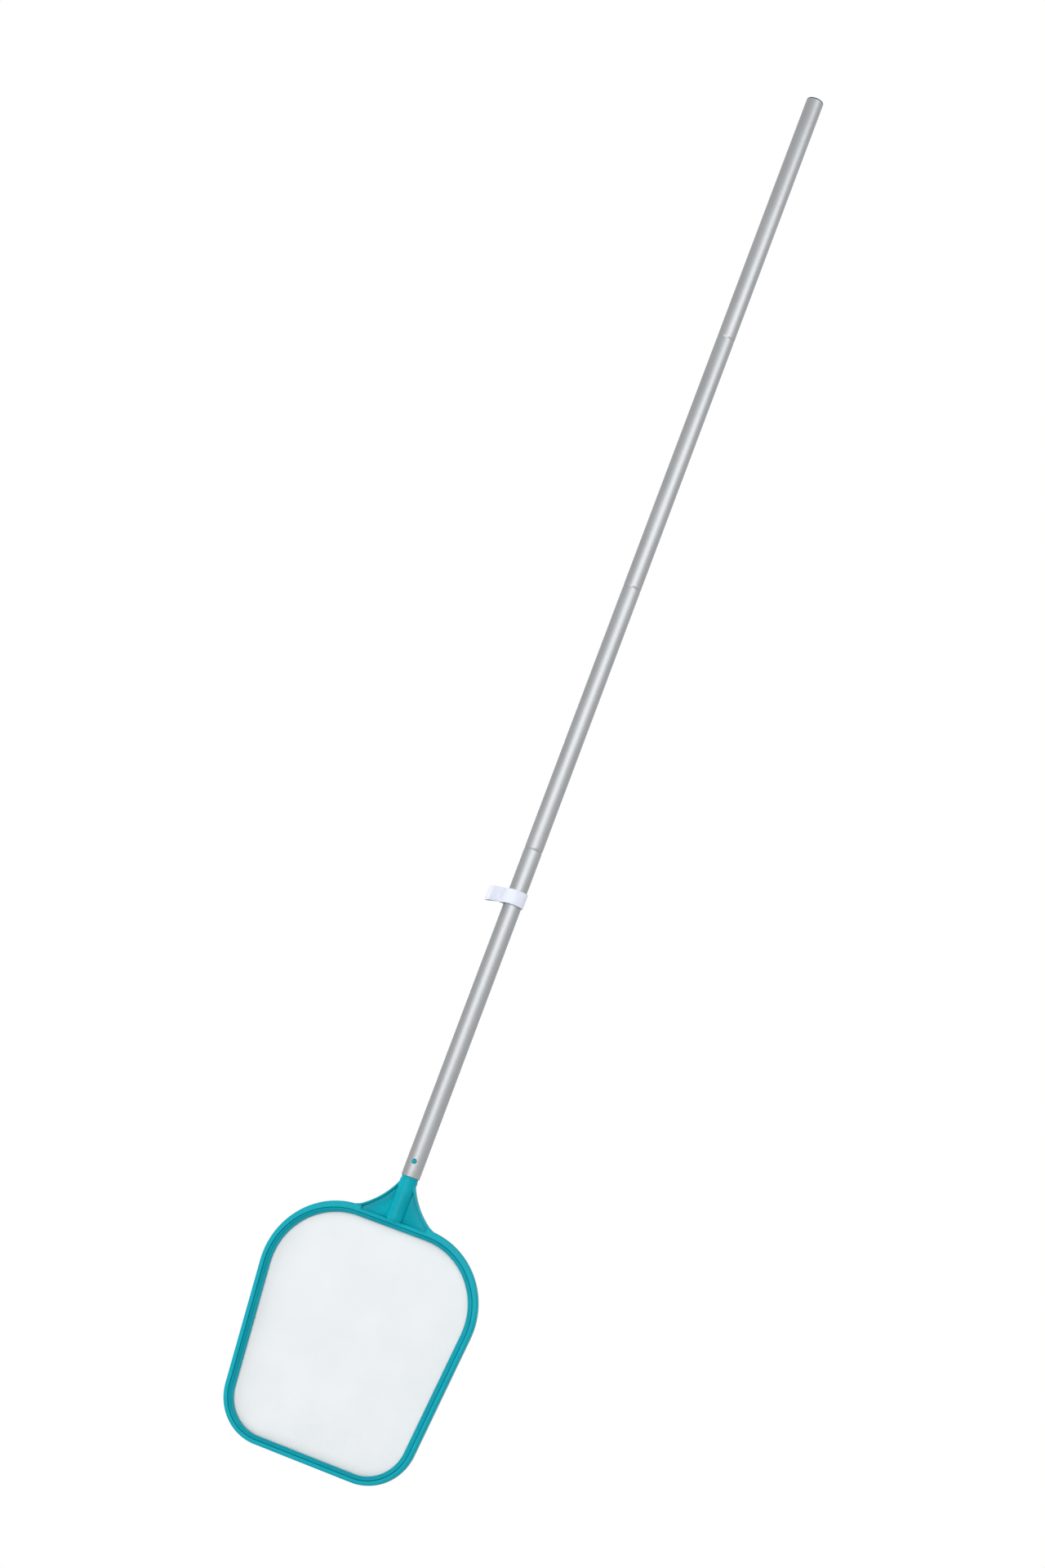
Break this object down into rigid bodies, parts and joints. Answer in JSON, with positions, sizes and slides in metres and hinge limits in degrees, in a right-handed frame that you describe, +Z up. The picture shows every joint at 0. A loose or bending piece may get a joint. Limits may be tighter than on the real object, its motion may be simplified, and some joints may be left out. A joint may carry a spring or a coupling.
{
  "type": "leaf skimmer net",
  "caption": "Flat leaf skimmer net in a moulded ring, on a long push-fit tube pole with snap buttons and a storage strap.",
  "frame": {"origin": "on the pole's axis, halfway down the straight wall of the topmost tube, where it is gripped", "axes": "+Z up the pole, away from the net; -Y out of the net's front face; +X across the net"},
  "size_m": [0.295, 0.0305, 2.0146],
  "materials": {
    "tube": "drawn tube, lightly brushed",
    "cap": "fine satin",
    "head": "satin moulded teal",
    "net": "fine woven thread",
    "webbing": "soft white hook-and-loop webbing"
  },
  "bodies": {
    "pole_top": {"pole_section_1": "tube", "pole_end_cap": "cap"},
    "second_tube": {"pole_section_2": "tube"},
    "third_tube": {"pole_section_3": "tube"},
    "net_end": {"pole_section_4": "tube", "net_frame": "head", "net_retaining_ring": "head", "net_mesh": "net", "clip_bend": "head"},
    "front_button": {"clip_arm_front": "head"},
    "rear_button": {"clip_arm_rear": "head"},
    "strap": {"storage_strap": "webbing", "strap_hook_tab": "webbing"}
  },
  "joints": [
    {"name": "second_tube_pull", "type": "slide", "parent": "pole_top", "child": "second_tube", "axis": [0, 0, -1], "range_m": [0, 0.066]},
    {"name": "third_tube_pull", "type": "slide", "parent": "second_tube", "child": "third_tube", "axis": [0, 0, -1], "range_m": [0, 0.066]},
    {"name": "net_end_pull", "type": "slide", "parent": "third_tube", "child": "net_end", "axis": [0, 0, -1], "range_m": [0, 0.066]},
    {"name": "front_button_press", "type": "hinge", "parent": "net_end", "child": "front_button", "pos_m": [0, -0.004, -1.45435], "axis": [-1, 0, 0], "range_deg": [0, 3], "stiffness_Nm_per_rad": 3, "springref_deg": -2.86},
    {"name": "rear_button_press", "type": "hinge", "parent": "net_end", "child": "rear_button", "pos_m": [0, 0.004, -1.45435], "axis": [1, 0, 0], "range_deg": [0, 3], "stiffness_Nm_per_rad": 3, "springref_deg": -2.86},
    {"name": "strap_slide", "type": "slide", "parent": "net_end", "child": "strap", "axis": [0, 0, 1], "range_m": [-0.335, 0.055]}
  ]
}
